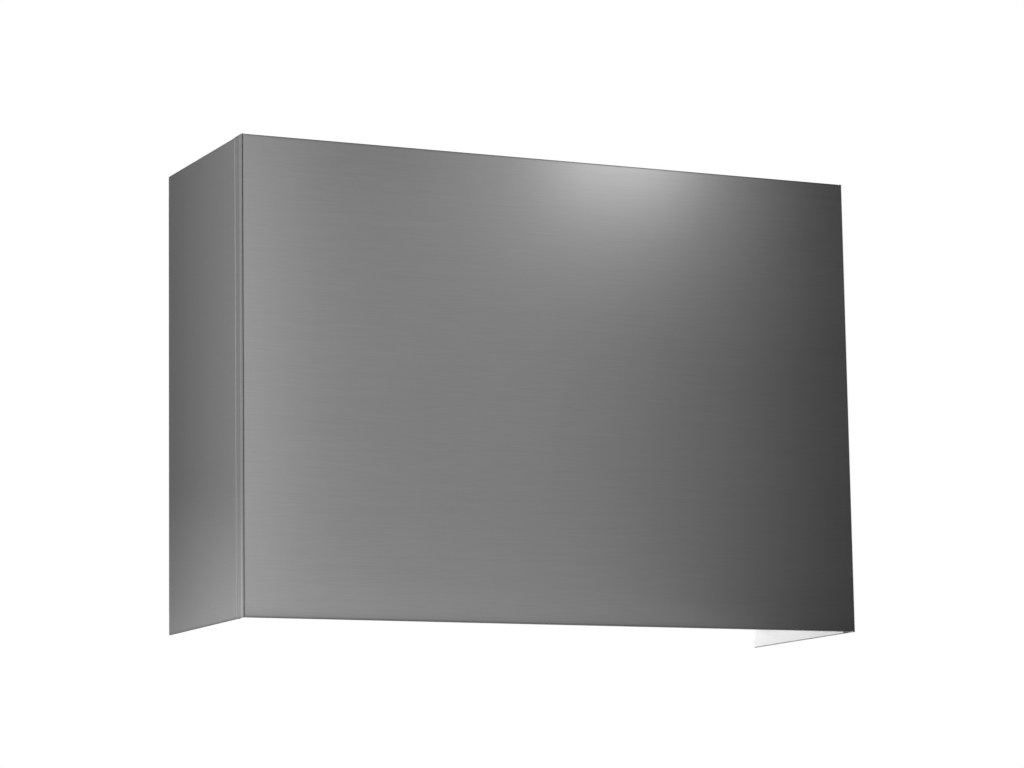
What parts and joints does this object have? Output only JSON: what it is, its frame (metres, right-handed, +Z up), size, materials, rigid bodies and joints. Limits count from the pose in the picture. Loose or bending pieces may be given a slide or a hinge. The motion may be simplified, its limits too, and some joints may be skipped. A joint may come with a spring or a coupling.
{
  "type": "cooker hood chimney section",
  "caption": "Wide wall-mounted chimney section for a cooker hood: folded stainless front and side panels with corner seams, open top, bottom and back, on wall rails.",
  "frame": {"origin": "middle of the bottom opening, on the plane where the cover stands on the hood", "axes": "+X along the front to the right, +Y back to the wall, +Z up"},
  "size_m": [0.914, 0.29, 0.64],
  "materials": {
    "brushed_stainless": "horizontally brushed, satin",
    "galvanised_steel": "galvanised, dull, faint spangle",
    "plated_fastener": "zinc plated, bright"
  },
  "bodies": {
    "root": {"front_panel": "brushed_stainless", "left_side_panel": "brushed_stainless", "right_side_panel": "brushed_stainless", "left_stiffener": "galvanised_steel", "right_stiffener": "galvanised_steel", "lower_wall_rail": "galvanised_steel", "upper_wall_rail": "galvanised_steel", "left_seam_screws": "plated_fastener", "right_seam_screws": "plated_fastener", "left_seam_nuts": "plated_fastener", "right_seam_nuts": "plated_fastener", "lower_rail_screws": "plated_fastener", "upper_rail_screws": "plated_fastener", "lower_rail_nuts": "plated_fastener", "upper_rail_nuts": "plated_fastener"}
  },
  "joints": []
}
